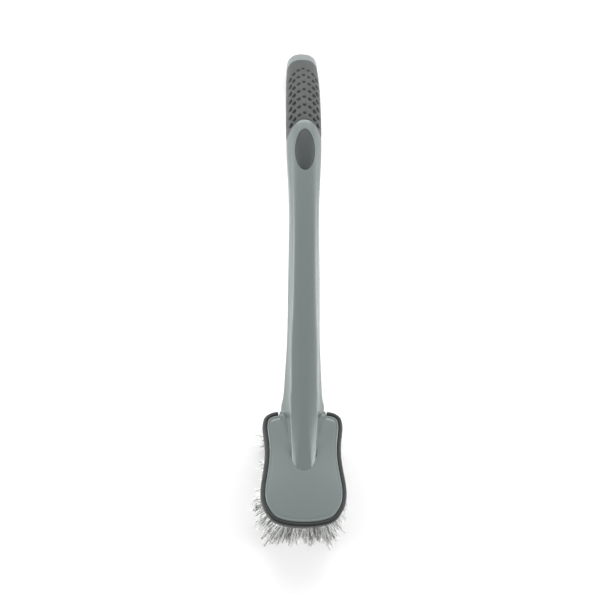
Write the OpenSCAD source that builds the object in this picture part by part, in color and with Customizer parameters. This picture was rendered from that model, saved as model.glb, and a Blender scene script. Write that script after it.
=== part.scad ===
// Long-handled wheel and tyre brush.
//
// One hollow moulded core carries the handle and the head. A soft grip sleeve, a thumb pad and a
// bumper strip are moulded onto it, a plug closes the butt of the handle, and a drilled block with
// stapled tufts is screwed into the underside of the head.
//
// Two frames are used. The head frame lies in the rim plane of the head: x across, y from toe to
// heel, z up and away from the bristles. The handle frame shares its origin and x, and is tipped
// up from it by head_tilt. rest() then lays the whole brush on a table, on its heel tufts and the
// butt of its handle.

/* [Head] */
// Width of the head over the bumper, at the widest place
head_w = 55.4; // [52:0.2:60]
// Length of the head over the bumper, toe to heel
head_l = 75.8; // [73:0.2:80]
// Angle between the head and the middle of the handle
head_tilt = 15; // [12:0.5:18]
// Height of the crown in the middle of the head above its rim
crown = 1.8; // [1:0.1:2.6]
// Depth of the head's side wall below the rim plane
skirt_h = 9; // [8.4:0.1:10]
// Thickness of the side wall
wall = 3.0; // [2:0.1:3.2]
// Thickness of the head's top at the rim
roof = 3.4; // [2.8:0.1:3.8]

/* [Bumper] */
// Thickness of the soft strip round the head, seen from above
bumper_w = 2.8; // [2.4:0.1:3.4]
// How far down the side wall the strip reaches
bumper_h = 8.2; // [6.5:0.1:8.4]
// Half of the gap that the strip leaves for the neck
bumper_gap = 15.5; // [15:0.1:17]

/* [Bristles] */
// Free length of the bristles below the block
bristle_len = 27.5; // [20:0.5:32]
// Radius of a tuft hole in the block
tuft_r = 2.1; // [1.8:0.05:2.3]
// Radius of a tuft at its tips
tip_r = 3.9; // [3:0.1:4.2]
// How much further apart the tufts are at their tips than in the block
splay = 1.3; // [1.25:0.01:1.4]
// Depth of a tuft hole
hole_d = 5.4; // [4.6:0.1:5.6]

/* [Handle] */
// Width of the shaft at its narrowest place
shaft_w = 19.8; // [18:0.2:22]
// Greatest width of the grip
grip_w = 23; // [22:0.2:26]
// Thickness of the soft sleeve
sleeve_t = 2; // [1.6:0.1:2.2]
// Thickness of the shaft's hollow wall
shaft_wall = 3; // [2.6:0.1:3.4]

/* [Thumb pad] */
// Length of the soft oval under the thumb
pad_l = 25.6; // [22:0.2:28]
// Width of the soft oval
pad_w = 12.3; // [10:0.1:14]
// Thickness of the soft oval
pad_t = 1.6; // [1.2:0.1:1.8]

/* [Screws] */
// Radius of a screw's shank
screw_r = 1.35; // [1.2:0.05:1.5]
// Radius of a screw's head
screw_head_r = 2.7; // [2.4:0.1:2.8]

/* [Hidden] */

light_grey = [0.55, 0.58, 0.58];
dark_grey = [0.33, 0.35, 0.35];
darker_grey = [0.27, 0.29, 0.29];

// How the brush lies on a table: tipped by this angle about x, then moved to the origin.
rest_tilt = -1.25;
rest_shift = [0, -112.43, 47.7];

gap = 0.04;            // between pieces moulded or pressed together
block_face = -10;      // height of the block's drilled face in the head frame
block_clear = 0.2;     // between the block and the wall around it
tips = block_face - bristle_len;

// ---------------------------------------------------------------- curves

// Smooth curve through the rows of a table: the first column is where, the rest is what.
function span(t, s, i = 0) = (i >= len(t) - 2 || s < t[i + 1][0]) ? i : span(t, s, i + 1);
function way(t, i) = i <= 0 ? (t[1] - t[0]) / (t[1][0] - t[0][0])
    : i >= len(t) - 1 ? (t[i] - t[i - 1]) / (t[i][0] - t[i - 1][0])
    : (t[i + 1] - t[i - 1]) / (t[i + 1][0] - t[i - 1][0]);
function along(t, s) = let (i = span(t, s), h = t[i + 1][0] - t[i][0], u = (s - t[i][0]) / h)
    (2 * u * u * u - 3 * u * u + 1) * t[i] + (u * u * u - 2 * u * u + u) * h * way(t, i)
    + (3 * u * u - 2 * u * u * u) * t[i + 1] + (u * u * u - u * u) * h * way(t, i + 1);
function rise(t, s) = let (i = span(t, s), h = t[i + 1][0] - t[i][0], u = (s - t[i][0]) / h)
    (6 * u * u - 6 * u) / h * (t[i] - t[i + 1]) + (3 * u * u - 4 * u + 1) * way(t, i)
    + (3 * u * u - 2 * u) * way(t, i + 1);

// ---------------------------------------------------------------- head outline

// Right half of the head's outer edge, toe to heel, as shares of half the width and half the length.
half_edge = [[0, -1], [0.29, -0.987], [0.556, -0.946], [0.744, -0.874], [0.884, -0.742],
             [0.971, -0.593], [1, -0.438], [0.986, -0.27], [0.949, -0.103], [0.91, 0.077],
             [0.888, 0.27], [0.895, 0.438], [0.92, 0.593], [0.934, 0.734], [0.9, 0.871],
             [0.801, 0.945], [0.65, 0.986], [0.43, 1], [0, 1]];
heel_y = 39.8;         // the head's heel edge; its middle and its toe follow from its length
mid_y = heel_y - head_l / 2;
edge_knots = [for (p = half_edge) [p[0] * head_w / 2, mid_y + p[1] * head_l / 2],
              for (i = [len(half_edge) - 2:-1:1]) [-half_edge[i][0] * head_w / 2, mid_y + half_edge[i][1] * head_l / 2]];
function knot(i) = edge_knots[(i + len(edge_knots)) % len(edge_knots)];
function bend(a, b, c, d, u) = 0.5 * (2 * b + (c - a) * u + (2 * a - 5 * b + 4 * c - d) * u * u
    + (3 * b - a - 3 * c + d) * u * u * u);
edge = [for (i = [0:len(edge_knots) - 1]) for (u = [0, 0.5]) bend(knot(i - 1), knot(i), knot(i + 1), knot(i + 2), u)];
edge_n = len(edge);
function unit(v) = v / norm(v);
function inward(i) = let (t = unit(edge[(i + 1) % edge_n] - edge[(i + edge_n - 1) % edge_n])) [-t[1], t[0]];
// The outline moved in by d, and the half width of the head at y.
function edge_in(d) = [for (i = [0:edge_n - 1]) edge[i] + d * inward(i)];
half_curve = [for (p = half_edge) if (p[1] > -0.999 && p[1] < 0.999) [mid_y + p[1] * head_l / 2, p[0] * head_w / 2]];
function half_w(y) = along(half_curve, y)[1];

// ---------------------------------------------------------------- handle surface

wk = shaft_w / 19.8;
gk = grip_w / 23.4;
// Where the centre of the section is along the handle, its height, half width, half thickness above
// and below, squareness, and how much wider the foot of the section is than its top.
handle = [[-8, -7.2, 8.8 * wk, 8.4, 8.4, 3, 0.3],
          [20, -6.5, 9 * wk, 8.5, 8.5, 3, 0.4],
          [40, -5.6, 9.9 * wk, 8.5, 8.5, 3, 0.58],
          [51, -5.2, 9.9 * wk, 8.5, 8.5, 3, 0.41],
          [64, -4.6, 9.6 * wk, 8.5, 8.5, 3, 0.27],
          [77, -4.2, 9.5 * wk, 8.4, 8.4, 3, 0.18],
          [97, -3.7, 9.5 * wk, 8.3, 8.3, 3, 0.13],
          [123, -3.4, 9.4 * wk, 8.2, 8.2, 3, 0.1],
          [149, -4, 9.3 * wk, 8.2, 8.2, 2.9, 0.08],
          [162, -4.7, 9.4 * wk, 8.3, 8.4, 2.8, 0.07],
          [175, -5.8, 9.8 * wk, 8.6, 8.8, 2.7, 0.05],
          [191, -7.8, 10.8 * gk, 9.3, 9.6, 2.5, 0.02],
          [207, -10.4, 11.6 * gk, 10.1, 10.4, 2.4, 0],
          [220, -13.1, 11.7 * gk, 10.5, 10.9, 2.4, 0],
          [231, -16.2, 11.6 * gk, 10.7, 11.1, 2.4, 0],
          [241, -19.9, 11.4 * gk, 10.7, 11, 2.4, 0],
          [249, -23.8, 11.1 * gk, 10.5, 10.7, 2.5, 0],
          [259, -29.9, 10.4 * gk, 9.8, 10, 2.6, 0],
          [266, -35.3, 9.9 * gk, 9, 9.2, 2.7, 0],
          [272, -40.4, 9.3 * gk, 8.3, 8.5, 2.7, 0]];
// A point of the handle's surface: s along it, a round it from the top, off below the surface.
function skin(s, a, off = 0) = let (v = along(handle, s), d = rise(handle, s)[1], w = v[2] - off,
        up = v[3] - off, dn = v[4] - off,
        r = pow(pow(abs(sin(a)) / w, v[5]) + pow(abs(cos(a)) / (cos(a) >= 0 ? up : dn), v[5]), -1 / v[5]),
        b = r * cos(a), x = r * sin(a) * (1 + v[6] * (up - b) / (up + dn)), l = sqrt(1 + d * d))
    [x, s - b * d / l, v[1] + b / l];

// The sleeve's front edge is an arch round the thumb pad, and its back edge leans a little.
arch_s = 213.5;
arch_d = 10.8;
back_s = 260;
back_d = 2.2;
function lean(a) = let (t = a > 180 ? 360 - a : a)
    t <= 90 ? 1 - 1.25 * pow(sin(t), 2.4) + 0.25 * (1 - cos(t)) : -0.6 * (1 - sin(t));
function arch(a, w = 1) = arch_d * w * lean(a);
function grip_s(t, a) = (arch_s + arch(a)) * (1 - t) + (back_s + back_d * lean(a)) * t;

ring_n = 36;
ring_a = [for (i = [0:ring_n - 1]) i * 360 / ring_n];
function ring(s, off = 0) = [for (a = ring_a) skin(s, a, off)];

function sum(v, i = 0) = i >= len(v) ? v[0] * 0 : v[i] + sum(v, i + 1);
function middle(r) = sum(r) / len(r);

// A closed solid from rings of equal length, with its first and last ring closed to their middles.
module loft(rings) {
    n = len(rings[0]);
    m = len(rings);
    polyhedron(points = concat([for (r = rings) for (p = r) p], [middle(rings[0]), middle(rings[m - 1])]),
        faces = concat([for (i = [0:n - 1]) [m * n, (i + 1) % n, i]],
            [for (k = [0:m - 2]) for (i = [0:n - 1]) let (a = k * n + i, b = k * n + (i + 1) % n)
                each [[a, b, b + n], [a, b + n, a + n]]],
            [for (i = [0:n - 1]) [m * n + 1, (m - 1) * n + i, (m - 1) * n + (i + 1) % n]]));
}
// A closed tube from rings of equal length, its last ring joined to its first.
module tube(rings) {
    n = len(rings[0]);
    m = len(rings);
    polyhedron(points = [for (r = rings) for (p = r) p],
        faces = [for (k = [0:m - 1]) for (i = [0:n - 1])
            let (a = k * n + i, b = k * n + (i + 1) % n, c = ((k + 1) % m) * n + i, d = ((k + 1) % m) * n + (i + 1) % n)
                each [[a, b, d], [a, d, c]]]);
}

// Places a piece of the handle, or of the head, in the brush as it lies at rest.
module rest() translate(rest_shift) rotate([rest_tilt, 0, 0]) children();
module head() rest() rotate([-head_tilt, 0, 0]) children();

// ---------------------------------------------------------------- core

shaft_s = [198, 188, 178, 166, 152, 138, 124, 110, 97, 86, 76, 68, 60, 52, 46, 40, 33, 26, 19, 12, 5, -2, -8];
// How far the arch has died out along the shaft in front of the sleeve.
function fade(s) = max(0, (s - 150) / 63);
// The core's skin, from its open end under the sleeve to the tongue in the head.
module core_skin() loft(concat(
    [for (t = [1, 0.85, 0.7, 0.55, 0.4, 0.25, 0.12, 0]) [for (a = ring_a) skin(grip_s(t, a), a, sleeve_t)]],
    [[for (a = ring_a) skin(grip_s(0, a) - 0.05, a)]],
    [for (s = shaft_s) [for (a = ring_a) skin(s + arch(a, fade(s)), a)]]));
// The hollow that runs from the core's open end to the neck.
hollow_s = [265, 260, 252, 245, 237, 229, 221, 213, 205, 197, 188, 178, 166, 152, 138, 124, 110, 97, 86, 76, 68, 60, 54];
function hollow_off(s) = s > 205 ? sleeve_t + shaft_wall : s < 185 ? shaft_wall : shaft_wall + sleeve_t * (s - 185) / 20;
module core_hollow() loft([for (s = hollow_s) ring(s, hollow_off(s))]);

plate = edge_in(bumper_w);
// The head: a low crown, a rounded lip and the side wall, from the top down.
module head_shell() loft(concat(
    [for (u = [0.76, 0.56, 0.38, 0.22, 0.1]) [for (p = plate) [p[0] * (1 - u), mid_y + (p[1] - mid_y) * (1 - u), crown * sin(90 * pow(u, 0.8))]]],
    [for (q = [[0.9, 0], [0.35, -0.3]]) [for (p = edge_in(bumper_w + q[0])) [p[0], p[1], q[1]]]],
    [for (z = [-0.9, -skirt_h / 2, -skirt_h]) [for (p = plate) [p[0], p[1], z]]]));
// The head reaches out to the bumper's outer edge in the gap that the bumper leaves for the neck.
module heel_boss() translate([0, 0, -skirt_h]) linear_extrude(skirt_h - 0.3) intersection() {
    polygon(edge_in(0.25));
    translate([-bumper_gap + 0.25, heel_y - 8]) square([2 * bumper_gap - 0.5, 20]);
}
module block_room() translate([0, 0, -40]) linear_extrude(40 - roof) polygon(edge_in(bumper_w + wall));

// A point of the handle's crest: x across it, s along it, up above the surface.
function crest(x, s, up = 0) = let (v = along(handle, s), d = rise(handle, s)[1], l = sqrt(1 + d * d),
        b = v[3] * pow(1 - pow(abs(x) / v[2], v[5]), 1 / v[5]) + up) [x, s - b * d / l, v[1] + b / l];
pad_s = 205.4;
// The thumb pad's oval, a little fuller towards the head, grown by g and lifted by up.
function oval(g, up, k = 1) = [for (f = [0:12:348]) crest(k * (pad_w / 2 + g) * sin(f) * (1 - 0.05 * cos(f)),
    pad_s + k * (pad_l / 2 + g) * cos(f), up)];

module handle_core() color(light_grey) rest() difference() {
    union() {
        core_skin();
        rotate([-head_tilt, 0, 0]) head_shell();
        rotate([-head_tilt, 0, 0]) heel_boss();
    }
    core_hollow();
    loft([oval(gap, -pad_t - gap, 0.5), oval(gap, -pad_t - gap), oval(gap, 3), oval(gap, 3, 0.5)]);
    rotate([-head_tilt, 0, 0]) {
        block_room();
        for (p = screw_at) translate([p[0], p[1], -roof - 1]) cylinder(r = screw_r, h = 1 + roof + 0.4, $fn = 24);
    }
}

// ---------------------------------------------------------------- butt and grip

// The cap's rings: how far beyond the sleeve's back edge, and how far in from the handle's surface.
cap_s = [[0.05, 0.35], [0.4, 0], [2, 0], [4, 0], [5.4, 0.25], [6.8, 1], [8, 2.4], [8.7, 4.4], [9, 6.6]];
module end_cap() color(light_grey) rest() union() {
    loft([for (i = [len(cap_s) - 1:-1:0]) [for (a = ring_a)
        skin(back_s + cap_s[i][0] + back_d * lean(a) * max(0, 1 - cap_s[i][0] / 9), a, cap_s[i][1])]]);
    loft([for (s = [261.4, 256, 252, 248]) ring(s, hollow_off(s) + gap + (s < 249 ? 0.6 : 0))]);
}

grip_t = [0, 0.02, 0.14, 0.28, 0.42, 0.56, 0.7, 0.84, 0.98, 1];
module grip_sleeve() color(dark_grey) rest() tube(concat(
    [for (i = [len(grip_t) - 1:-1:0]) let (t = grip_t[i]) [for (a = ring_a) skin(grip_s(t, a) + (t == 0 ? gap : t == 1 ? -gap : 0), a, t == 0 || t == 1 ? 0.35 : 0)]],
    [for (t = grip_t) [for (a = ring_a) skin(grip_s(t, a) + (t == 0 ? gap : t == 1 ? -gap : 0), a, sleeve_t - gap)]]));

module thumb_pad() color(darker_grey) rest()
    loft([oval(-gap, -pad_t, 0.5), oval(-gap, -pad_t), oval(-gap, -0.15), oval(-gap, 0.2, 0.94), oval(-gap, 0.35, 0.7), oval(-gap, 0.4, 0.35)]);

// ---------------------------------------------------------------- head pieces

// Section of the bumper: distance in from its outer edge, and height.
bumper_at = [[0, -bumper_h + 1], [0.15, -1.6], [0.7, -0.6], [1.6, -0.2], [bumper_w - 0.5, -0.35],
             [bumper_w - gap, -0.9], [bumper_w - gap, -bumper_h], [0.8, -bumper_h]];
module head_bumper() color(darker_grey) head() difference() {
    tube([for (i = [0:edge_n - 1]) [for (q = bumper_at) let (p = edge[i] + q[0] * inward(i)) [p[0], p[1], q[1]]]]);
    translate([-bumper_gap, 0, -30]) cube([2 * bumper_gap, 80, 60]);
}

// Tufts: where each stands in the drilled face, row by row from the toe.
rows = 9;
row_pitch = 6.9;
function row_y(k) = mid_y + (k - (rows - 1) / 2) * row_pitch;
function row_n(k) = let (w = half_w(row_y(k)) - bumper_w - wall - block_clear - tuft_r - 1.3)
    k == 0 || k == rows - 1 ? 4 : (k % 2 == 0 ? 2 * floor(w / 7.2 + 0.5) : 2 * floor(w / 7.2) + 1);
function row_x(k) = let (n = row_n(k)) [for (i = [0:n - 1]) (i - (n - 1) / 2) * 7.1];
screw_rows = [1, 7];
function is_screw(k, x) = len(search(k, screw_rows)) > 0 && abs(abs(x) - 7.1) < 1;
screw_at = [for (k = screw_rows) for (x = row_x(k)) if (is_screw(k, x)) [x, row_y(k)]];
function tufts(k) = [for (x = row_x(k)) if (!is_screw(k, x)) [x, row_y(k)]];
// How a tuft leans: sideways and lengthways shift at its tips.
function tuft_lean(p) = [p[0] * (splay - 1), (p[1] - mid_y) * (splay - 1)];
// Turns z into the tuft's own direction, pointing down out of the drilled face.
module along_tuft(p) {
    v = tuft_lean(p);
    translate([p[0], p[1], block_face]) rotate([0, 180 - atan2(norm(v), bristle_len) * 1, atan2(v[1], v[0])])
        rotate([0, 0, -atan2(v[1], v[0])]) children();
}
anchor_w = 2 * tuft_r + 0.6;
module anchor(g = 0) translate([-anchor_w / 2 - g, -0.2 - g, -hole_d + 1.4 - g]) cube([anchor_w + 2 * g, 0.4 + 2 * g, 1.8 + 2 * g]);

module bristle_block() color(dark_grey) head() difference() {
    translate([0, 0, block_face]) linear_extrude(-roof - gap - block_face) polygon(edge_in(bumper_w + wall + block_clear));
    for (k = [0:rows - 1]) for (p = tufts(k)) along_tuft(p) {
        translate([0, 0, -hole_d]) cylinder(r = tuft_r, h = hole_d + 3, $fn = 24);
        anchor();
    }
    for (p = screw_at) translate([p[0], p[1], 0]) {
        translate([0, 0, block_face - 1]) cylinder(r = screw_head_r + 0.15, h = 3.6, $fn = 32);
        translate([0, 0, block_face]) cylinder(r = screw_r + 0.15, h = 12, $fn = 24);
    }
}

module block_screws() color([0.75, 0.76, 0.77]) head() for (p = screw_at) translate([p[0], p[1], block_face]) difference() {
    union() {
        translate([0, 0, 0.5]) cylinder(r = screw_head_r, h = 2.1 - gap, $fn = 32);
        translate([0, 0, 1]) cylinder(r = screw_r - gap, h = 9.2, $fn = 24);
    }
    for (a = [0, 90]) rotate([0, 0, a]) translate([-1.5, -0.3, 0]) cube([3, 0.6, 1.7]);
}

module tuft_anchors() color([0.78, 0.74, 0.6]) head() for (k = [0:rows - 1]) for (p = tufts(k)) along_tuft(p) anchor(-0.03);

module tuft(p) difference() {
    along_tuft(p) difference() {
        union() {
            translate([0, 0, -hole_d + gap]) cylinder(r = tuft_r - gap, h = hole_d, $fn = 24);
            cylinder(r1 = tuft_r - gap, r2 = tip_r, h = bristle_len * 1.12, $fn = 24);
        }
        anchor(gap);
    }
    translate([p[0] - 60, p[1] - 60, tips - 20]) cube([120, 120, 20]);
}
module tuft_row(k) color(k % 2 == 0 ? [0.8, 0.8, 0.79] : [0.66, 0.67, 0.66]) head() for (p = tufts(k)) tuft(p);

module tuft_row_1() tuft_row(0);
module tuft_row_2() tuft_row(1);
module tuft_row_3() tuft_row(2);
module tuft_row_4() tuft_row(3);
module tuft_row_5() tuft_row(4);
module tuft_row_6() tuft_row(5);
module tuft_row_7() tuft_row(6);
module tuft_row_8() tuft_row(7);
module tuft_row_9() tuft_row(8);

handle_core();
end_cap();
grip_sleeve();
thumb_pad();
head_bumper();
bristle_block();
block_screws();
tuft_anchors();
tuft_row_1();
tuft_row_2();
tuft_row_3();
tuft_row_4();
tuft_row_5();
tuft_row_6();
tuft_row_7();
tuft_row_8();
tuft_row_9();
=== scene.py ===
"""A long-handled wheel brush: the looks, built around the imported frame.

Lengths are in millimetres inside this script and become metres in make().
Two frames carry the numbers: the head frame (rim plane of the head, y from toe to heel) and the
handle frame (tipped up from it). rest_handle() and rest_head() lay both on the table.
"""
import math

import bmesh
import bpy
import numpy as np
from mathutils import Matrix, Vector
from mathutils.bvhtree import BVHTree


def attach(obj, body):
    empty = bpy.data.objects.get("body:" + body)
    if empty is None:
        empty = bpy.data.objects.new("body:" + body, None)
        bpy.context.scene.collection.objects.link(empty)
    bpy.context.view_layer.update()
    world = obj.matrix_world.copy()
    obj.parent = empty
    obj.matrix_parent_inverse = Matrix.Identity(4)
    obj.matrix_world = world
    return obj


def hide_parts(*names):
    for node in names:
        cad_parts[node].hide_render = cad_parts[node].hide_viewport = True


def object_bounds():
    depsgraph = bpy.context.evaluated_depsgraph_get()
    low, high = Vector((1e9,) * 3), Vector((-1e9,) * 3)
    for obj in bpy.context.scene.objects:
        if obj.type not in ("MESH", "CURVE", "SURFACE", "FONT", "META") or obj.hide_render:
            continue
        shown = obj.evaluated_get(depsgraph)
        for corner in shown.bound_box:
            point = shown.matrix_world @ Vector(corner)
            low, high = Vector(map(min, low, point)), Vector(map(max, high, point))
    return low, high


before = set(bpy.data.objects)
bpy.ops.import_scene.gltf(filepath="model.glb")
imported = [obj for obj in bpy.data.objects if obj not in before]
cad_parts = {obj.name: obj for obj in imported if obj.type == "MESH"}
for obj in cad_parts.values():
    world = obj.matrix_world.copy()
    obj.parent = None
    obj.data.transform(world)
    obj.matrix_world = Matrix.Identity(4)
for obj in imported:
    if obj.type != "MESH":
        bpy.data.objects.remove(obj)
CAD_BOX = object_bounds()

# ------------------------------------------------------------------ sizes shared with the design
HEAD_W, HEAD_L, HEAD_TILT, CROWN, SKIRT_H, WALL, ROOF = 55.4, 75.8, 15.0, 1.8, 9.0, 3.0, 3.4
HEEL_Y = 39.8
MID_Y = HEEL_Y - HEAD_L / 2
BUMPER_W, BUMPER_H, BUMPER_GAP = 2.8, 8.2, 15.5
BRISTLE_LEN, TUFT_R, TIP_R, SPLAY, HOLE_D = 27.5, 2.1, 3.9, 1.3, 5.4
SHAFT_W, GRIP_W, SLEEVE_T, SHAFT_WALL = 19.8, 23.0, 2.0, 3.0
PAD_L, PAD_W, PAD_T, PAD_S = 25.6, 12.3, 1.6, 205.4
REST_TILT, REST_SHIFT = -1.25, (0.0, -112.43, 47.7)
BLOCK_FACE, GAP = -10.0, 0.04
TIPS = BLOCK_FACE - BRISTLE_LEN
ARCH_S, ARCH_D, BACK_S, BACK_D = 213.5, 10.8, 260.0, 2.2


def turn(p, deg):
    c, s = math.cos(math.radians(deg)), math.sin(math.radians(deg))
    p = np.asarray(p, float)
    return np.stack([p[..., 0], p[..., 1] * c - p[..., 2] * s, p[..., 1] * s + p[..., 2] * c], -1)


def rest_handle(p):
    return turn(p, REST_TILT) + np.array(REST_SHIFT)


def rest_head(p):
    return rest_handle(turn(p, -HEAD_TILT))


# ------------------------------------------------------------------ curves
class Curve:
    """Smooth curve through a table's rows: first column where, the rest what."""

    def __init__(self, rows):
        t = np.array(rows, float)
        self.x, self.v = t[:, 0], t[:, 1:]
        n = len(self.x)
        m = np.zeros_like(self.v)
        for i in range(n):
            a, b = max(i - 1, 0), min(i + 1, n - 1)
            m[i] = (self.v[b] - self.v[a]) / (self.x[b] - self.x[a])
        self.m = m

    def __call__(self, s, slope=False):
        s = np.asarray(s, float)
        i = np.clip(np.searchsorted(self.x, s, side="right") - 1, 0, len(self.x) - 2)
        h = self.x[i + 1] - self.x[i]
        u = (s - self.x[i]) / h
        u, h = u[..., None], h[..., None]
        a, b, ma, mb = self.v[i], self.v[i + 1], self.m[i], self.m[i + 1]
        if slope:
            return (6 * u * u - 6 * u) / h * (a - b) + (3 * u * u - 4 * u + 1) * ma + (3 * u * u - 2 * u) * mb
        return (2 * u**3 - 3 * u * u + 1) * a + (u**3 - 2 * u * u + u) * h * ma + (3 * u * u - 2 * u**3) * b + (u**3 - u * u) * h * mb


WK, GK = SHAFT_W / 19.8, GRIP_W / 23.4
# where, height of centre, half width, half thickness above and below, squareness, foot
HANDLE = Curve([
    [-8, -7.2, 8.8 * WK, 8.4, 8.4, 3, 0.3], [20, -6.5, 9 * WK, 8.5, 8.5, 3, 0.4], [40, -5.6, 9.9 * WK, 8.5, 8.5, 3, 0.58],
    [51, -5.2, 9.9 * WK, 8.5, 8.5, 3, 0.41], [64, -4.6, 9.6 * WK, 8.5, 8.5, 3, 0.27], [77, -4.2, 9.5 * WK, 8.4, 8.4, 3, 0.18],
    [97, -3.7, 9.5 * WK, 8.3, 8.3, 3, 0.13], [123, -3.4, 9.4 * WK, 8.2, 8.2, 3, 0.1], [149, -4, 9.3 * WK, 8.2, 8.2, 2.9, 0.08],
    [162, -4.7, 9.4 * WK, 8.3, 8.4, 2.8, 0.07], [175, -5.8, 9.8 * WK, 8.6, 8.8, 2.7, 0.05], [191, -7.8, 10.8 * GK, 9.3, 9.6, 2.5, 0.02],
    [207, -10.4, 11.6 * GK, 10.1, 10.4, 2.4, 0], [220, -13.1, 11.7 * GK, 10.5, 10.9, 2.4, 0], [231, -16.2, 11.6 * GK, 10.7, 11.1, 2.4, 0],
    [241, -19.9, 11.4 * GK, 10.7, 11, 2.4, 0], [249, -23.8, 11.1 * GK, 10.5, 10.7, 2.5, 0], [259, -29.9, 10.4 * GK, 9.8, 10, 2.6, 0],
    [266, -35.3, 9.9 * GK, 9, 9.2, 2.7, 0],
    [272, -40.4, 9.3 * GK, 8.3, 8.5, 2.7, 0]])
# The neck and shaft as moulded: half width of the flat front, its edge's half width, how far that
# edge drops, the widest place's half width and height, the edge's rounding, and how much of all
# this there is against the plain rounded section.
NECK = Curve([
    [-8, 4.6, 6.6, 1.5, 8.0, -4.5, 0.3, 1], [2, 4.3, 7.3, 1.6, 8.8, -4.5, 0.3, 1], [12, 3.5, 7.8, 1.9, 9.7, -4.6, 0.3, 1],
    [22, 2.6, 8.3, 2.2, 9.9, -4.8, 0.3, 1], [30, 1.9, 8.6, 2.3, 10.1, -5.2, 0.3, 1], [34, 1.8, 8.7, 2.3, 10.6, -5.6, 0.3, 1],
    [36.6, 1.7, 8.8, 2.25, 13.8, -5.9, 0.3, 1], [39, 1.7, 8.8, 2.2, 14.0, -6.0, 0.3, 1],
    [42, 1.8, 8.8, 2.1, 13.8, -5.6, 0.3, 1], [46, 2, 8.8, 2, 12.9, -5.0, 0.35, 1], [51, 2.2, 8.8, 1.9, 12.4, -4.5, 0.4, 1],
    [61, 2.4, 8.75, 1.75, 11.8, -3.8, 0.4, 1], [74, 2.6, 8.65, 1.6, 11.1, -3.1, 0.45, 1], [87, 2.8, 8.5, 1.5, 10.6, -2.5, 0.5, 0.95],
    [100, 2.8, 8.3, 1.45, 10.45, -2, 0.6, 0.9], [124, 2.8, 8, 1.4, 10.3, -1.4, 0.8, 0.8], [149, 2.8, 7.9, 1.3, 10.05, -0.8, 1.1, 0.6],
    [175, 2.8, 8.2, 1.2, 9.9, -0.4, 1.4, 0.3], [200, 2.8, 9, 1.2, 11.0, 0, 1.6, 0], [280, 2.8, 9, 1.2, 11.4, 0, 1.6, 0]])

# A fine crease down the middle of the front.
GROOVE = Curve([[-20, 0], [52, 0], [58, 0.16], [64, 0.3], [84, 0.3], [92, 0.14], [110, 0.1], [140, 0.14], [170, 0.1], [180, 0], [300, 0]])

HALF = 61  # points of a half section, top centre to bottom centre


def resample(p, n):
    d = np.r_[0, np.cumsum(np.hypot(*np.diff(p, axis=0).T))]
    t = np.linspace(0, d[-1], n)
    return np.stack([np.interp(t, d, p[:, 0]), np.interp(t, d, p[:, 1])], -1)


def smooth_half(p, r):
    """Rounds a half section's corners with a moving average of width r along it."""
    q = resample(p, 400)
    step = np.hypot(*np.diff(q, axis=0).T).mean()
    full = np.vstack([q[:0:-1] * [-1, 1], q, q[-2::-1] * [-1, 1]])
    k = max(1, int(round(r / step)))
    w = np.hanning(2 * k + 3)[1:-1]
    w /= w.sum()
    f = np.stack([np.convolve(full[:, i], w, "same") for i in (0, 1)], -1)
    return f[399:799]


def half_section(s, off=0.0):
    """Half a cross-section at s, from the top centre round to the bottom centre."""
    v = HANDLE(s)
    zc, w, up, dn, n, foot = v
    w, up, dn = w - off, up - off, dn - off
    a = np.radians(np.linspace(0, 180, 361))
    r = (np.abs(np.sin(a) / w) ** n + np.abs(np.cos(a) / np.where(np.cos(a) >= 0, up, dn)) ** n) ** (-1 / n)
    z = r * np.cos(a)
    x = r * np.sin(a) * (1 + foot * (up - z) / (up + dn))
    plain = resample(np.stack([x, z], -1), HALF)
    wf, wt, drop, wm, zm, rad, q = NECK(s)
    q = min(max(q, 0), 1)
    if q <= 0 or off > 1:
        return plain
    wt, wm = wt - off, wm - off
    xt = wt * np.linspace(0, 1, 90) ** 1.25
    bow = np.clip(xt - wf, 0, None)
    zt = up - drop * (bow / (wt - wf)) ** float(np.interp(s, [50, 150], [1.3, 2.0]))
    groove = float(GROOVE(s)[0])
    zt = zt - groove * np.exp(-((xt / 0.42) ** 2))
    # skirt: leaves the edge steeply and flares to the widest place
    t = np.linspace(0, 1, 60)[1:]
    xs = wt + (wm - wt) * (0.35 * t + 0.65 * t**2)
    zs = zt[-1] + (zm - zt[-1]) * t
    f = np.radians(np.linspace(0, 90, 60)[1:])
    xb = wm * np.cos(f) ** (2 / 2.8)
    zb = zm - (dn + zm) * np.sin(f) ** (2 / 2.8)
    xb[-1] = 0
    cut = np.vstack([np.stack([xt, zt], -1), np.stack([xs, zs], -1), np.stack([xb, zb], -1)])
    cut = resample(smooth_half(cut, rad + 0.1), HALF)
    cut[0, 0] = cut[-1, 0] = 0
    return plain * (1 - q) + cut * q


def place(s, x, b):
    """A point of the handle: s along it, x across, b above its centre line."""
    v, d = HANDLE(s), HANDLE(s, slope=True)[..., 0]
    l = np.sqrt(1 + d * d)
    return np.stack([x + 0 * s, s - b * d / l, v[..., 0] + b / l], -1)


def lean(a):
    a = np.asarray(a, float)
    t = np.where(a > 180, 360 - a, a)
    r = np.radians(t)
    return np.where(t <= 90, 1 - 1.25 * np.abs(np.sin(r)) ** 2.4 + 0.25 * (1 - np.cos(r)), -0.6 * (1 - np.sin(r)))


def lead_s(a):
    return ARCH_S + ARCH_D * lean(a)


def back_edge(a):
    return BACK_S + BACK_D * lean(a)


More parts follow.
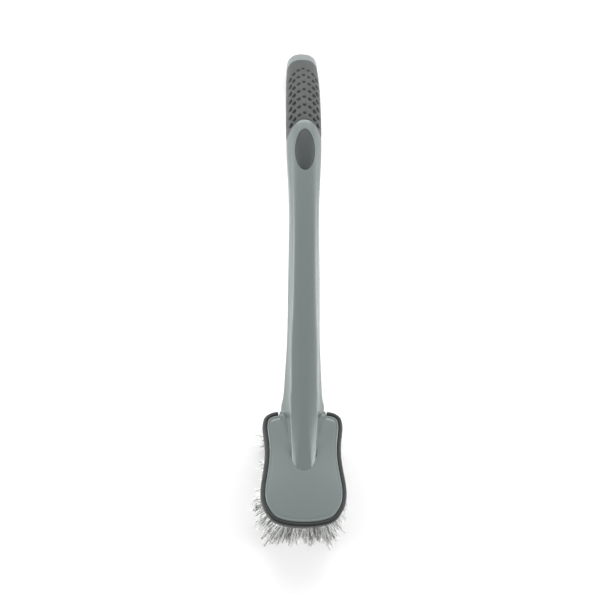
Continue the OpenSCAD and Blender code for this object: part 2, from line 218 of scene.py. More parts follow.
def ring_at(s_fun, off=0.0):
    """A closed ring: s_fun gives where each point of it is from its angle round the section."""
    n = 2 * (HALF - 1)
    # angle of each point, by share of the way round
    ang = np.arange(n) * 360.0 / n
    s = s_fun(ang)
    pts = np.zeros((n, 3))
    cache = {}
    for i in range(n):
        key = round(float(s[i]), 4)
        if key not in cache:
            cache[key] = half_section(s[i], off)
        h = cache[key]
        j = i if i < HALF else n - i
        x, b = h[j]
        if i >= HALF:
            x = -x
        pts[i] = place(s[i], x, b)
    return pts


# ------------------------------------------------------------------ meshes
def make(name, verts, faces, smooth=35):
    me = bpy.data.meshes.new(name)
    me.from_pydata([tuple(v) for v in np.asarray(verts, float) * 0.001], [], [tuple(int(i) for i in f) for f in faces])
    me.update()
    ob = bpy.data.objects.new(name, me)
    bpy.context.collection.objects.link(ob)
    tidy(ob, smooth)
    return ob


def tidy(ob, smooth=35):
    bm = bmesh.new()
    bm.from_mesh(ob.data)
    bmesh.ops.recalc_face_normals(bm, faces=bm.faces)
    lim = math.radians(smooth)
    for f in bm.faces:
        f.smooth = True
    for e in bm.edges:
        e.smooth = len(e.link_faces) == 2 and e.calc_face_angle(0) < lim
    bm.to_mesh(ob.data)
    bm.free()
    ob.data.update()


def strip(k, n, base=0):
    """Quads between rings of n points."""
    f = []
    for r in range(k - 1):
        for i in range(n):
            a, b = base + r * n + i, base + r * n + (i + 1) % n
            f.append((a, b, b + n, a + n))
    return f


def loft(rings, cap=True):
    """Vertices and faces of a closed solid through rings."""
    k, n = len(rings), len(rings[0])
    v = np.concatenate(rings)
    f = strip(k, n)
    if cap:
        v = np.vstack([v, rings[0].mean(0), rings[-1].mean(0)])
        f += [(k * n, (i + 1) % n, i) for i in range(n)]
        f += [(k * n + 1, (k - 1) * n + i, (k - 1) * n + (i + 1) % n) for i in range(n)]
    else:
        f += [((k - 1) * n + i, (k - 1) * n + (i + 1) % n, (i + 1) % n, i) for i in range(n)]
    return v, f


def boolean(ob, other, how):
    m = ob.modifiers.new("b", "BOOLEAN")
    m.operation = how
    m.solver = "MANIFOLD"
    m.object = other
    dg = bpy.context.evaluated_depsgraph_get()
    me = bpy.data.meshes.new_from_object(ob.evaluated_get(dg))
    ob.modifiers.clear()
    old = ob.data
    ob.data = me
    bpy.data.meshes.remove(old)
    bpy.data.objects.remove(other)


# ------------------------------------------------------------------ head outline
HALF_EDGE = np.array([
    [0, -1], [0.29, -0.987], [0.556, -0.946], [0.744, -0.874], [0.884, -0.742], [0.971, -0.593], [1, -0.438], [0.986, -0.27],
    [0.949, -0.103], [0.91, 0.077], [0.888, 0.27], [0.895, 0.438], [0.92, 0.593], [0.934, 0.734], [0.9, 0.871], [0.801, 0.945],
    [0.65, 0.986], [0.43, 1], [0, 1]])


def outline(per=10):
    h = HALF_EDGE * [HEAD_W / 2, HEAD_L / 2]
    k = np.vstack([h, h[-2:0:-1] * [-1, 1]])
    n = len(k)
    k[:, 1] += MID_Y
    out = []
    for i in range(n):
        a, b, c, d = k[(i - 1) % n], k[i], k[(i + 1) % n], k[(i + 2) % n]
        for u in np.arange(per) / per:
            out.append(0.5 * (2 * b + (c - a) * u + (2 * a - 5 * b + 4 * c - d) * u * u + (3 * b - a - 3 * c + d) * u**3))
    p = np.array(out)
    # even spacing, starting at the toe, and closer together where the neck stands on the head
    q = np.vstack([p, p[:1]])
    near = (q[:-1, 1] > MID_Y) & (np.abs(q[:-1, 0]) < 14)
    step = np.hypot(*np.diff(q, axis=0).T)
    d = np.r_[0, np.cumsum(step)]
    load = np.r_[0, np.cumsum(step * np.where(near, 2.6, 1.0))]
    t = np.interp(np.linspace(0, load[-1], 450, endpoint=False), load, d)
    return np.stack([np.interp(t, d, q[:, 0]), np.interp(t, d, q[:, 1])], -1)


EDGE = outline()
_t = np.roll(EDGE, -1, 0) - np.roll(EDGE, 1, 0)
_t /= np.linalg.norm(_t, axis=1)[:, None]
INWARD = np.stack([-_t[:, 1], _t[:, 0]], -1)


def edge_in(d):
    return EDGE + d * INWARD


def half_w(y):
    h = HALF_EDGE[1:-1] * [HEAD_W / 2, HEAD_L / 2] + [0, MID_Y]
    return float(Curve(np.stack([h[:, 1], h[:, 0]], -1))(np.array(y))[..., 0])


# ------------------------------------------------------------------ handle and head, one moulding
TONGUE_TIP = -0.4


def ease(u):
    u = np.clip(u, 0, 1)
    return u * u * (3 - 2 * u)


def tongue(x, y):
    """How far inside the tongue's U a point of the head's top is; negative outside."""
    t = y - TONGUE_TIP
    across = 3.15 * np.clip(t, 0, None) ** 0.42 - np.abs(x)
    along = t - (np.abs(x) / 3.15) ** (1 / 0.42)
    inside = np.clip(across, 1e-6, None) * np.clip(along, 1e-6, None) / np.hypot(across, along)
    return np.where((across > 0) & (along > 0), inside, -np.minimum(np.abs(across), np.abs(along)))


def build_core():
    def fade(s):
        return max(0.0, (s - 150) / 63)

    outer = []
    # under the sleeve, from the open end to the arch
    for t in (1.0, 0.85, 0.7, 0.55, 0.4, 0.25, 0.12, 0.0):
        outer.append(ring_at(lambda a, t=t: lead_s(a) * (1 - t) + back_edge(a) * t, SLEEVE_T))
    # the rounded edge at the arch
    for ds, off in ((0.0, 0.7), (-0.1, 0.34), (-0.3, 0.1), (-0.65, 0.0)):
        outer.append(ring_at(lambda a, ds=ds: lead_s(a) + ds, off))
    ss = np.r_[np.arange(211.5, 40.0, -1.1), np.arange(40.0, -8.5, -0.5)]
    for s in ss:
        outer.append(ring_at(lambda a, s=s: s + ARCH_D * lean(a) * fade(s)))
    hollow = [266, 260, 252, 245, 237, 229, 221, 213, 205, 197, 188, 178, 166, 152, 138, 124, 110, 97, 86, 76, 68, 60, 54]
    inner = []
    for s in hollow:
        off = SLEEVE_T + SHAFT_WALL if s > 205 else SHAFT_WALL if s < 185 else SHAFT_WALL + SLEEVE_T * (s - 185) / 20
        inner.append(ring_at(lambda a, s=s: s + 0 * a, max(off, 1.01)))
    # the whole loft gives the head its tongue
    v, f = loft(outer)
    vh = turn(v, HEAD_TILT)
    tree = BVHTree.FromPolygons([Vector(p) for p in vh], f)

    # the head's top as rings, from the pole out to the edge
    pole = np.array([0.0, 1.4])
    gap = (EDGE[:, 1] > MID_Y) & (np.abs(EDGE[:, 0]) < BUMPER_GAP - 0.3)
    depth = np.where(gap, 0.25, BUMPER_W)[:, None]

    def plate_in(d):
        return EDGE + (depth + d) * INWARD

    plate = plate_in(0)
    lip = [0, 0.06, 0.15, 0.28, 0.45, 0.65, 0.9, 1.2, 1.6, 2.1, 2.7]
    rings2 = []
    inner_edge = plate_in(lip[-1])
    for u in np.linspace(0.06, 1, 104)[:-1] ** 1.35:
        rings2.append((pole + (inner_edge - pole) * u, None))
    for d in lip[::-1]:
        rings2.append((plate_in(d), d))
    top = []
    n = len(EDGE)
    # the crown falls from the middle to the plate's edge along every direction
    middle = np.array([0.0, MID_Y])
    turned = np.arctan2(plate[:, 0], plate[:, 1] - MID_Y)
    order = np.argsort(turned)
    reach = np.linalg.norm(plate - middle, axis=1)[order]
    turned = turned[order]
    for p, d in rings2:
        # distance in from the plate's edge, by share of the way to it
        if d is None:
            share = np.linalg.norm(p - pole, axis=1) / np.linalg.norm(inner_edge - pole, axis=1)
            dist = lip[-1] + (1 - share) * np.linalg.norm(inner_edge - pole, axis=1)
        else:
            dist = np.full(n, d)
        r = np.linalg.norm(p - middle, axis=1) / np.interp(np.arctan2(p[:, 0], p[:, 1] - MID_Y), turned, reach, period=2 * np.pi)
        z = CROWN * np.clip(1 - r ** (2.4 - 1.0 * ease((p[:, 1] - MID_Y) / 24)), 0, 1)
        e = 0.8
        z = z + np.where(dist < e, -(e - np.sqrt(np.clip(e * e - (e - dist) ** 2, 0, None))), 0)
        z = z - 0.18 * np.exp(-((dist - 1.7) / 0.5) ** 2)
        # the handle's surface above the plate
        h = np.full(n, -50.0)
        for i in range(n):
            hit = tree.ray_cast(Vector((p[i, 0], p[i, 1], 60.0)), Vector((0, 0, -1)))
            if hit[0] is not None:
                h[i] = hit[0].z
        # the tongue ends in a U, sunk a little below the plate's edge round its tip
        d = tongue(p[:, 0], p[:, 1])
        sink = ease((14 - p[:, 1]) / 7)
        high = np.maximum(h - z - 0.3 * sink, -0.8 * sink) * ease(d / 0.45)
        # elsewhere its foot runs softly into the plate
        k = 0.05 + 2.2 * ease((p[:, 1] - 12) / 9)
        m = np.clip(k - np.abs(z - h), 0, None) / k
        z = np.where(d > 0, z + high, z) + m * m * k / 4 * (h > -40) + 0.02 * (d > 0)
        top.append(np.c_[p, z])
    side = [np.c_[plate, np.full(n, z)] for z in (-2.0, -SKIRT_H + 0.4)]
    side.append(np.c_[plate_in(0.4), np.full(n, -SKIRT_H)])
    side.append(np.c_[edge_in(BUMPER_W + WALL), np.full(n, -SKIRT_H)])
    side.append(np.c_[edge_in(BUMPER_W + WALL), np.full(n, -ROOF)])
    vv, ff = loft(top + side)
    head = make("head_part", rest_head(vv), ff)

    shaft = make("handle_core_look", rest_handle(v), f)
    hv, hf = loft(inner)
    hol = make("hollow", rest_handle(hv), hf)
    boolean(shaft, hol, "DIFFERENCE")
    # what would stand in the block's room
    room = edge_in(BUMPER_W + WALL)
    rv, rf = loft([np.c_[room, np.full(n, -40.0)], np.c_[room, np.full(n, -ROOF)]])
    boolean(shaft, make("room", rest_head(rv), rf), "DIFFERENCE")
    boolean(shaft, head, "UNION")
    # the pad's recess
    rec = [oval(0.05, -PAD_T - 0.05, 0.02), oval(0.05, -PAD_T - 0.05, 0.6), oval(0.05, -PAD_T - 0.05), oval(0.05, -0.3), oval(0.3, 0.02), oval(0.5, 3), oval(0.5, 3, 0.02)]
    rv, rf = loft(rec)
    boolean(shaft, make("recess", rest_handle(rv), rf), "DIFFERENCE")
    tidy(shaft, 32)
    return shaft


def crest(x, s, up=0.0):
    v, d = HANDLE(s), HANDLE(s, slope=True)[..., 0]
    l = np.sqrt(1 + d * d)
    b = v[..., 2] * (1 - (np.abs(x) / v[..., 1]) ** v[..., 4]) ** (1 / v[..., 4]) + up
    return np.stack([x, s - b * d / l, v[..., 0] + b / l], -1)


def oval(g, up, k=1.0, n=120):
    f = np.radians(np.arange(n) * 360 / n)
    return crest(k * (PAD_W / 2 + g) * np.sin(f) * (1 - 0.05 * np.cos(f)), PAD_S + k * (PAD_L / 2 + g) * np.cos(f), up)


def build_pad():
    rings = [oval(-GAP, -PAD_T, 0.02), oval(-GAP, -PAD_T, 0.5), oval(-GAP, -PAD_T), oval(-GAP, -0.45), oval(-0.1, -0.2), oval(-0.22, -0.06), oval(-0.45, 0.04)]
    for k in np.linspace(0.92, 0.02, 22):
        rings.append(oval(-0.45, 0.04 + 0.42 * (1 - k * k), k))
    v, f = loft(rings)
    return make("thumb_pad_look", rest_handle(v), f, 40)


# ------------------------------------------------------------------ sleeve with its crescents
def build_sleeve():
    nt, n = 250, 2 * (HALF - 1) * 2
    ang = np.arange(n) * 360.0 / n
    lead, back = lead_s(ang), back_edge(ang)
    ts = np.linspace(0, 1, nt)

    def ring(t, off, ds=0.0):
        s = lead * (1 - t) + back * t + ds
        v = HANDLE(s)
        w, up, dn, e = v[:, 1] - off, v[:, 2] - off, v[:, 3] - off, v[:, 4]
        # superellipse angle for each point: close to the share of arc
        a = np.radians(ang)
        r = (np.abs(np.sin(a) / w) ** e + np.abs(np.cos(a) / np.where(np.cos(a) >= 0, up, dn)) ** e) ** (-1 / e)
        return s, r * np.sin(a), r * np.cos(a)

    # arc lengths round the section and along the top, for laying out the crescents
    s_line = np.linspace(200, 266, 400)
    c = HANDLE(s_line)
    top = place(s_line, np.zeros(400), c[:, 2])
    along_top = np.r_[0, np.cumsum(np.linalg.norm(np.diff(top, axis=0), axis=1))]
    apex = np.interp(ARCH_S + ARCH_D, s_line, along_top)
    pits = []
    # dark: how much painted shade each column's crescents get, heaviest in the outer columns
    across, drop, dark = (0.0, 3.75, 7.0, 9.9), (0.0, 1.7, 4.4, 8.0), (0.4, 0.5, 0.78, 1.0)
    size, sunk = (1.3, 1.34, 1.46, 1.75), (0.95, 1.05, 1.3, 1.5)
    for row in range(7):
        for col in range(-3, 4):
            c = abs(col)
            sl = 0.0 if c == 0 else (drop[min(c + 1, 3)] - drop[c - 1]) / (across[min(c + 1, 3)] - across[c - 1])
            pits.append((math.copysign(across[c], col), apex + 4.6 + 5.68 * row - drop[c], math.atan(sl) * np.sign(col), dark[c], size[c], sunk[c]))
    outer, pit_shade_rows = [], []
    for t in ts:
        s, x, b = ring(t, 0.0)
        off, pit, shade = np.zeros(n), np.zeros(n), np.zeros(n)
        # rounded ends
        for end, sign in ((0.0, 1), (1.0, -1)):
            dist = np.abs(t - end) * (back - lead)
            off = np.maximum(off, np.clip(0.32 - dist, 0, None) ** 2 / 0.32 * 1.1)
        off = off + 0.38 * np.exp(-t * (back - lead) / 1.6)
        su = np.interp(s, s_line, along_top)
        # arc round from the top
        aa = np.where(ang > 180, ang - 360, ang)
        u = np.radians(aa) * 10.9
        for pu, ps, rot, dk, big, low in pits:
            near = (np.abs(u - pu) < 2.4) & (np.abs(su - ps) < 2.4)
            if not near.any():
                continue
            du, dv = u[near] - pu, -(su[near] - ps)  # dv towards the head
            cr, sr = math.cos(rot), math.sin(rot)
            p, q = cr * du + sr * dv, -sr * du + cr * dv
            rr = np.hypot(p / 1.08, q)
            body = ease((big - rr) / 0.24) * np.clip((q + 0.75) / 1.15, 0, 1)
            pit[near] = np.maximum(pit[near], body * low)
            shade[near] = np.maximum(shade[near], body * dk)
        off = np.maximum(off, pit)
        pit_shade_rows.append(shade)
        l = np.hypot(x, b)
        k = (l - off) / l
        outer.append(place(s, x * k, b * k))
    inner = []
    for t in np.linspace(0, 1, 14)[::-1]:
        s, x, b = ring(t, SLEEVE_T - GAP, GAP if t == 0 else -GAP if t == 1 else 0)
        inner.append(place(s, x, b))
    v, f = loft(outer + inner, cap=False)
    ob = make("grip_sleeve_look", rest_handle(v), f, 50)
    # the crescents' painted shade goes onto the mesh as its 'pit' attribute
    value = np.zeros(len(v), np.float32)
    value[:nt * n] = np.concatenate(pit_shade_rows)
    ob.data.attributes.new("pit", "FLOAT", "POINT").data.foreach_set("value", value)
    return ob


def build_cap():
    inner = [(248.0, 5.9), (249, 5.05), (252, 5.04), (256, 5.04)]
    rings = [ring_at(lambda a, s=s: s + 0 * a, off) for s, off in inner]
    rings.append(ring_at(lambda a: back_edge(a) + 0.02, 5.04))
    for ds, off in ((0.02, 2.2), (0.03, 0.5), (0.1, 0.22), (0.25, 0.06), (0.5, 0), (1.2, 0), (2.0, 0), (2.8, 0), (3.6, 0)):
        rings.append(ring_at(lambda a, ds=ds: BACK_S + ds + BACK_D * lean(a) * (1 - ds / 9), off))
    # rounded end: the last section shrinks on a quarter of a superellipse
    n = 2 * (HALF - 1)
    ang = np.arange(n) * 360.0 / n
    last = BACK_S + 3.6 + BACK_D * lean(ang) * (1 - 3.6 / 9)
    base = ring_at(lambda a: last, 0)
    d = HANDLE(BACK_S + 3.6, slope=True)[0]
    l = math.sqrt(1 + d * d)
    mid = base.mean(0)
    for f in np.radians(np.linspace(5, 88, 26)):
        ds, k = 6.2 * np.sin(f) ** (2 / 2.2), np.cos(f) ** (2 / 2.5)
        rings.append(mid + (base - mid) * k + np.array([0, 1 / l, d / l]) * ds)
    v, f = loft(rings)
    return make("end_cap_look", rest_handle(v), f, 40)


# ------------------------------------------------------------------ bumper
def build_bumper():
    sec = [(2.76, -8.2), (2.76, -4), (2.76, -1.3), (2.66, -0.8), (2.4, -0.48), (2.0, -0.3), (1.55, -0.24), (1.1, -0.32), (0.66, -0.56),
           (0.32, -0.98), (0.08, -1.6), (0.0, -2.4), (0.0, -4.4), (0.0, -6.4), (0.08, -7.2), (0.3, -7.75), (0.75, -8.1), (1.4, -8.2)]
    sec = np.array(sec)
    keep = [i for i in range(len(EDGE)) if not (EDGE[i, 1] > 0 and abs(EDGE[i, 0]) < BUMPER_GAP)]
    # start just after the gap: find the first index of the run
    n = len(EDGE)
    start = next(i for i in keep if (i - 1) % n not in keep)
    run = [(start + k) % n for k in range(len(keep))]
    rings = []
    centre = sec.mean(0)

    def ring(i, k=1.0, slide=0.0):
        q = centre + (sec - centre) * k
        t = np.array([INWARD[i, 1], -INWARD[i, 0]])
        p = EDGE[i][None] + q[:, :1] * INWARD[i][None] + slide * t
        return np.c_[p, q[:, 1]]

    m = len(run)
    for c, i in enumerate(run):
        if c == 0:
            for k, d in ((0.82, 0.0), (0.93, 0.08), (0.985, 0.25)):
                rings.append(ring(i, k, d - 0.1))
            continue
        if c == m - 1:
            for k, d in ((0.985, 0.25), (0.93, 0.08), (0.82, 0.0)):
                rings.append(ring(i, k, -d + 0.1))
            continue
        rings.append(ring(i))
    v, f = loft(rings)
    return make("head_bumper_look", rest_head(v), f, 40)


# ------------------------------------------------------------------ bristles
ROWS, ROW_PITCH, COL_PITCH = 9, 6.9, 7.1
SCREW_ROWS = (1, 7)


def row_y(k):
    return MID_Y + (k - (ROWS - 1) / 2) * ROW_PITCH


def row_n(k):
    if k in (0, ROWS - 1):
        return 4
    w = half_w(row_y(k)) - BUMPER_W - WALL - 0.2 - TUFT_R - 1.3
    return 2 * int(math.floor(w / 7.2 + 0.5)) if k % 2 == 0 else 2 * int(math.floor(w / 7.2)) + 1


def tufts(k):
    n = row_n(k)
    xs = [(i - (n - 1) / 2) * COL_PITCH for i in range(n)]
    return [(x, row_y(k)) for x in xs if not (k in SCREW_ROWS and abs(abs(x) - 7.1) < 1)]


def build_row(k, rng, per):
    """One row of tufts as crimped filaments, trimmed on one plane."""
    seg, sides = 12, 4
    V, tone = [], []
    for tx, ty in tufts(k):
        side = tx / 17.0
        ends = (ty - MID_Y) / 27.0
        for _ in range(per):
            r0 = TUFT_R * 0.93 * math.sqrt(rng.random())
            f0 = rng.random() * 2 * math.pi
            ox, oy = r0 * math.cos(f0), r0 * math.sin(f0)
            # the tuft's own lean, more at the outside of the field, and a fan with some strays
            lx = tx * (SPLAY - 1) + 3.2 * side**3 + 5.0 * side * max(0.0, -ends) ** 2
            ly = (ty - MID_Y) * (SPLAY - 1) - 1.2 * max(0.0, -ends) ** 3
            fan = 1.5 + 0.7 * rng.random()
            stray = rng.normal(0, 1.5, 2) * (1.0 if rng.random() < 0.8 else 1.9) * (1 + 0.25 * abs(side), 1)
            ex, ey = lx + ox * fan + stray[0], ly + oy * fan + stray[1]
            length = BRISTLE_LEN + rng.normal(0, 0.5)
            t = np.linspace(-0.1, 1, seg)
            tt = np.clip(t, 0, 1)
            bow = rng.normal(0, 0.9, 2)
            cx = tx + ox + ex * (0.7 * tt + 0.3 * tt**2) + bow[0] * np.sin(np.pi * tt)
            cy = ty + oy + ey * (0.7 * tt + 0.3 * tt**2) + bow[1] * np.sin(np.pi * tt)
            z = BLOCK_FACE - t * length
            ph, wl, am, turned = rng.random() * 6.28, 5.6 + rng.random() * 1.8, 0.36 + 0.24 * rng.random(), rng.random() * 6.28
            wave = am * np.sin(2 * math.pi * t * length / wl + ph) * np.clip(t * 6, 0, 1)
            # the outermost strays are held in
            cx = np.sign(cx) * (np.abs(cx) - 0.65 * np.clip(np.abs(cx) - 29, 0, None))
            c = np.stack([cx + wave * math.cos(turned), cy + wave * math.sin(turned), z], -1)
            rad = 0.2 + 0.05 * rng.random()
            tan = np.gradient(c, axis=0)
            tan /= np.linalg.norm(tan, axis=1)[:, None]
            a = np.cross(tan, np.array([math.cos(turned), math.sin(turned), 0.0]))
            a /= np.linalg.norm(a, axis=1)[:, None]
            b = np.cross(tan, a)
            ring = [c + rad * (math.cos(q) * a + math.sin(q) * b) for q in np.arange(sides) * 2 * math.pi / sides]
            V.append(np.stack(ring, 1).reshape(-1, 3))
            tone.append(np.full(seg * sides, rng.random()))
    per_v = seg * sides
    faces = []
    for q in range(len(V)):
        o = q * per_v
        for r in range(seg - 1):
            for i in range(sides):
                a, b = o + r * sides + i, o + r * sides + (i + 1) % sides
                faces.append((a, b, b + sides, a + sides))
        faces.append(tuple(o + i for i in reversed(range(sides))))
        faces.append(tuple(o + (seg - 1) * sides + i for i in range(sides)))
    V = rest_head(np.concatenate(V))
    V[:, 2] = np.maximum(V[:, 2], 0.02)
    me = bpy.data.meshes.new("bristles_%d" % (k + 1))
    me.from_pydata([tuple(p) for p in V * 0.001], [], faces)
    me.polygons.foreach_set("use_smooth", [True] * len(me.polygons))
    at = me.attributes.new("tone", "FLOAT", "POINT")
    at.data.foreach_set("value", np.concatenate(tone).astype(np.float32))
    me.update()
    ob = bpy.data.objects.new("bristles_row_%d" % (k + 1), me)
    bpy.context.collection.objects.link(ob)
    return ob


# ------------------------------------------------------------------ materials
def lin(r, g, b):
    f = lambda c: c / 12.92 if c <= 0.04045 else ((c + 0.055) / 1.055) ** 2.4
    return (f(r / 255), f(g / 255), f(b / 255), 1.0)


class Mat:
    """A Principled material built from procedural textures in object space."""

    def __init__(self, name):
        self.m = bpy.data.materials.new(name)
        self.m.use_nodes = True
        self.t = self.m.node_tree
        self.b = self.t.nodes["Principled BSDF"]
        self.co = self.t.nodes.new("ShaderNodeTexCoord").outputs["Object"]

    def node(self, kind, **props):
        n = self.t.nodes.new(kind)
        for k, v in props.items():
            setattr(n, k, v)
        return n

    def link(self, a, b):
        self.t.links.new(a, b)
        return b

    def noise(self, scale, detail=3.0, rough=0.55, stretch=None, distortion=0.0):
        n = self.node("ShaderNodeTexNoise")
        n.inputs["Scale"].default_value = scale
        n.inputs["Detail"].default_value = detail
        n.inputs["Roughness"].default_value = rough
        n.inputs["Distortion"].default_value = distortion
        if stretch:
            mp = self.node("ShaderNodeMapping")
            mp.inputs["Scale"].default_value = stretch
            self.link(self.co, mp.inputs["Vector"])
            self.link(mp.outputs["Vector"], n.inputs["Vector"])
        else:
            self.link(self.co, n.inputs["Vector"])
        return n.outputs["Fac"]

    def ramp(self, fac, stops):
        r = self.node("ShaderNodeValToRGB")
        e = r.color_ramp.elements
        e[0].position, e[0].color = stops[0]
        e[1].position, e[1].color = stops[-1]
        for p, c in stops[1:-1]:
            k = e.new(p)
            k.color = c
        self.link(fac, r.inputs["Fac"])
        return r.outputs["Color"]

    def remap(self, fac, lo, hi, a=0.0, b=1.0):
        r = self.node("ShaderNodeMapRange")
        for k, v in (("From Min", a), ("From Max", b), ("To Min", lo), ("To Max", hi)):
            r.inputs[k].default_value = v
        self.link(fac, r.inputs["Value"])
        return r.outputs["Result"]

    def mix(self, fac, a, b, how="MIX"):
        n = self.node("ShaderNodeMix", data_type="RGBA", blend_type=how)
        if isinstance(fac, (int, float)):
            n.inputs[0].default_value = fac
        else:
            self.link(fac, n.inputs[0])
        for s, v in ((6, a), (7, b)):
            if isinstance(v, tuple):
                n.inputs[s].default_value = v
            else:
                self.link(v, n.inputs[s])
        return n.outputs[2]

    def math(self, op, a, b):
        n = self.node("ShaderNodeMath", operation=op)
        for i, v in enumerate((a, b)):
            if isinstance(v, (int, float)):
                n.inputs[i].default_value = v
            else:
                self.link(v, n.inputs[i])
        return n.outputs[0]

    def bump(self, height, strength, distance):
        n = self.node("ShaderNodeBump")
        n.inputs["Strength"].default_value = strength
        n.inputs["Distance"].default_value = distance
        self.link(height, n.inputs["Height"])
        self.link(n.outputs["Normal"], self.b.inputs["Normal"])


def hard_plastic(name, a, b, rough=0.26):
    """Glossy moulded polypropylene: faint flow marks along the part, fine orange peel, soft wear."""
    m = Mat(name)
    flow = m.noise(1.0, 2, 0.45, stretch=(45, 6, 45), distortion=0.2)
    fine = m.noise(900, 2, 0.6)
    m.link(m.mix(flow, a, b), m.b.inputs["Base Color"])
    m.link(m.remap(m.noise(60, 2, 0.5), rough - 0.004, rough + 0.014), m.b.inputs["Roughness"])
    m.bump(m.math("ADD", m.math("MULTIPLY", m.noise(300, 1, 0.4), 0.5), m.math("MULTIPLY", fine, 0.25)), 0.05, 0.0001)
    m.b.inputs["Specular IOR Level"].default_value = 0.5
    m.b.inputs["IOR"].default_value = 1.49
    return m.m


def soft_rubber(name, a, b, rough=0.55, grain=2600, depth=0.00006, pit_shade=False, toe=False):
    """Matte thermoplastic elastomer: a fine sandblasted grain and slightly shiny rubbed patches."""
    m = Mat(name)
    blot = m.noise(90, 4, 0.6)
    col = m.mix(m.remap(blot, 0, 1, 0.35, 0.68), a, b)
    if pit_shade:
        # painted shade: the grip's crescent recesses are darkened by their 'pit' attribute
        at = m.node("ShaderNodeAttribute", attribute_name="pit", attribute_type="GEOMETRY")
        col = m.mix(m.remap(at.outputs["Fac"], 0.0, 0.82, 0.1, 0.8), col, lin(34, 36, 36))
    if toe:
        # painted shade: the bumper darkens towards its toe end
        where = m.node("ShaderNodeSeparateXYZ")
        m.link(m.co, where.inputs[0])
        col = m.mix(m.remap(where.outputs["Y"], 0.0, 1.0, -0.13, -0.156), col, lin(20, 22, 22))
    m.link(col, m.b.inputs["Base Color"])
    m.link(m.remap(m.noise(240, 4, 0.6), rough - 0.07, rough + 0.08, 0.3, 0.7), m.b.inputs["Roughness"])
    m.bump(m.noise(grain, 3, 0.65), 0.35, depth)
    m.b.inputs["Specular IOR Level"].default_value = 0.4
    m.b.inputs["Sheen Weight"].default_value = 0.06
    m.b.inputs["Sheen Roughness"].default_value = 0.4
    return m.m


def filament(name):
    m = Mat(name)
    at = m.node("ShaderNodeAttribute", attribute_name="tone", attribute_type="GEOMETRY")
    tone = at.outputs["Fac"]
    body = m.ramp(tone, [(0.0, lin(120, 123, 122)), (0.22, lin(160, 163, 162)), (0.34, lin(236, 237, 235)), (1.0, lin(252, 252, 250))])
    col = m.mix(m.remap(m.noise(700, 2, 0.6), 0.0, 0.3, 0.3, 0.8), body, lin(190, 192, 190))
    m.link(col, m.b.inputs["Base Color"])
    m.link(m.remap(m.noise(900, 2, 0.5), 0.28, 0.42, 0.3, 0.7), m.b.inputs["Roughness"])
    m.b.inputs["Specular IOR Level"].default_value = 0.5
    return m.m


def steel(name, a, b, rough=0.32):
    m = Mat(name)
    m.link(m.mix(m.noise(1400, 3, 0.6), a, b), m.b.inputs["Base Color"])
    m.b.inputs["Metallic"].default_value = 1.0
    m.link(m.remap(m.noise(2200, 3, 0.6), rough - 0.1, rough + 0.12, 0.3, 0.7), m.b.inputs["Roughness"])
    m.bump(m.noise(3200, 2, 0.5), 0.15, 0.00003)
    return m.m


def block_plastic(name, a, b):
    m = Mat(name)
    m.link(m.mix(m.remap(m.noise(120, 4, 0.6), 0, 1, 0.3, 0.7), a, b), m.b.inputs["Base Color"])
    m.link(m.remap(m.noise(500, 3, 0.6), 0.42, 0.58, 0.3, 0.7), m.b.inputs["Roughness"])
    m.bump(m.noise(1800, 3, 0.6), 0.3, 0.00008)
    return m.m


# ------------------------------------------------------------------ the object
GREY = hard_plastic("hard_grey_plastic", lin(103, 111, 110), lin(107, 115, 114))
# the end cap is the same grey plastic, its base colour painted a little lighter for the light its tilted end catches
CAP = hard_plastic("hard_grey_plastic_cap_lit", lin(113, 119, 119), lin(118, 124, 124))
GRIP = soft_rubber("soft_grip_rubber", lin(64, 68, 67), lin(69, 73, 72), 0.54, pit_shade=True)
PAD = soft_rubber("soft_pad_rubber", lin(52, 57, 58), lin(57, 62, 63), 0.52)
BUMP = soft_rubber("soft_bumper_rubber", lin(40, 43, 43), lin(44, 47, 47), 0.55, depth=0.00004, toe=True)
HAIR = filament("bristle_filament")
STEEL = steel("screw_steel", (0.62, 0.63, 0.64, 1), (0.72, 0.73, 0.74, 1))
WIRE = steel("anchor_wire_steel", (0.5, 0.48, 0.4, 1), (0.62, 0.6, 0.52, 1), 0.4)
BLOCK = block_plastic("block_polypropylene", lin(86, 90, 90), lin(96, 100, 100))


def put(ob, material, node):
    ob.data.materials.clear()
    ob.data.materials.append(material)
    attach(ob, "root")
    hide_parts(node)


put(build_core(), GREY, "handle_core")
put(build_cap(), CAP, "end_cap")
put(build_sleeve(), GRIP, "grip_sleeve")
put(build_pad(), PAD, "thumb_pad")
put(build_bumper(), BUMP, "head_bumper")
rng = np.random.default_rng(7)
for k in range(ROWS):
    put(build_row(k, rng, (220, 180, 150)[k] if k < 3 else 130), HAIR, "tuft_row_%d" % (k + 1))
for node, material in (("bristle_block", BLOCK), ("block_screws", STEEL), ("tuft_anchors", WIRE)):
    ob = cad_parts[node]
    if not ob.material_slots:
        ob.data.materials.append(material)
    for sl in ob.material_slots:
        sl.material = material

# ------------------------------------------------------------------ studio
lo, hi = CAD_BOX
cx, cy = (lo[0] + hi[0]) / 2, (lo[1] + hi[1]) / 2
bpy.ops.mesh.primitive_plane_add(size=12, location=(cx, cy, lo[2] - 0.0002))
floor = bpy.context.object
floor.name = "studio_floor"
fm = bpy.data.materials.new("studio_white")
fm.use_nodes = True
fb = fm.node_tree.nodes["Principled BSDF"]
fb.inputs["Base Color"].default_value = (0.965, 0.965, 0.965, 1)
fb.inputs["Roughness"].default_value = 0.9
fb.inputs["Specular IOR Level"].default_value = 0.1
floor.data.materials.append(fm)

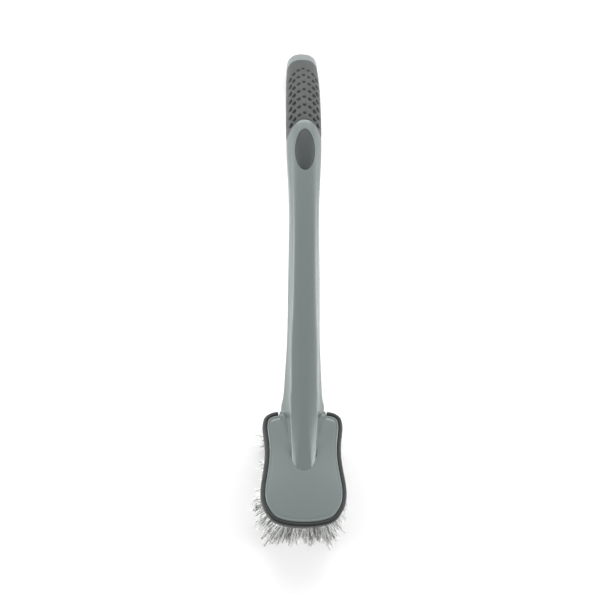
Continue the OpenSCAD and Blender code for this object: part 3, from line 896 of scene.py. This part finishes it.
world = bpy.data.worlds.new("studio")
bpy.context.scene.world = world
world.use_nodes = True
wt = world.node_tree
bg = wt.nodes["Background"]
tc = wt.nodes.new("ShaderNodeTexCoord")
sep = wt.nodes.new("ShaderNodeSeparateXYZ")
wt.links.new(tc.outputs["Generated"], sep.inputs[0])
wr = wt.nodes.new("ShaderNodeValToRGB")
e = wr.color_ramp.elements
e[0].position, e[0].color = 0.0, (1.1, 1.1, 1.1, 1)
e[1].position, e[1].color = 1.0, (0.1, 0.1, 0.1, 1)
for pos, c in ((0.5, 0.95), (0.66, 0.5), (0.82, 0.15)):
    k1 = e.new(pos)
    k1.color = (c, c, c, 1)
wt.links.new(sep.outputs["Z"], wr.inputs["Fac"])
# the side beyond the toe is the dim side of the room
wy = wt.nodes.new("ShaderNodeMapRange")
for k1, c in (("From Min", -0.8), ("From Max", 0.5), ("To Min", 0.35), ("To Max", 1.0)):
    wy.inputs[k1].default_value = c
wt.links.new(sep.outputs["Y"], wy.inputs["Value"])
wm = wt.nodes.new("ShaderNodeVectorMath")
wm.operation = "SCALE"
wt.links.new(wr.outputs["Color"], wm.inputs[0])
wt.links.new(wy.outputs["Result"], wm.inputs["Scale"])
wt.links.new(wm.outputs["Vector"], bg.inputs["Color"])
bg.inputs["Strength"].default_value = 1.82


def area(name, loc, target, size, power):
    d = bpy.data.lights.new(name, "AREA")
    d.shape = "RECTANGLE"
    d.size, d.size_y = size
    d.energy = power
    o = bpy.data.objects.new(name, d)
    o.location = loc
    o.rotation_euler = (Vector(target) - Vector(loc)).to_track_quat("-Z", "Y").to_euler()
    bpy.context.collection.objects.link(o)
    return o


for side in (-1, 1):
    area("strip_%s" % ("left" if side < 0 else "right"), (side * 1.5, cy, 0.38), (cx, cy, 0.02), (0.5, 1.6), 22)
area("back_box", (cx, cy + 1.2, 1.15), (cx, cy, 0.02), (1.6, 0.5), 16)

# ------------------------------------------------------------------ camera
YAW, PITCH, ROLL = 4.5, 0.0, 0.36
LENS, SENSOR = 135.0, 36.0
SPAN = 0.3886
dist = SPAN * LENS / SENSOR
target = Vector((cx + 0.0, cy, 0.036))
cam_data = bpy.data.cameras.new("camera")
cam_data.lens, cam_data.sensor_width = LENS, SENSOR
cam = bpy.data.objects.new("camera", cam_data)
bpy.context.collection.objects.link(cam)
yaw, pitch = math.radians(YAW), math.radians(PITCH)
direction = Vector((-math.sin(yaw) * math.cos(pitch), -math.sin(pitch), math.cos(yaw) * math.cos(pitch)))
cam.location = target + direction * dist
z = direction.normalized()
up = Vector((0, 1, 0))
x = up.cross(z).normalized()
y = z.cross(x)
rot = Matrix((x, y, z)).transposed() @ Matrix.Rotation(math.radians(ROLL), 3, "Z")
cam.rotation_euler = rot.to_euler()
cam_data.shift_x = -0.0056
cam_data.shift_y = -0.0062
cam_data.clip_end = 50
bpy.context.scene.camera = cam
bpy.context.scene.view_settings.view_transform = "Standard"
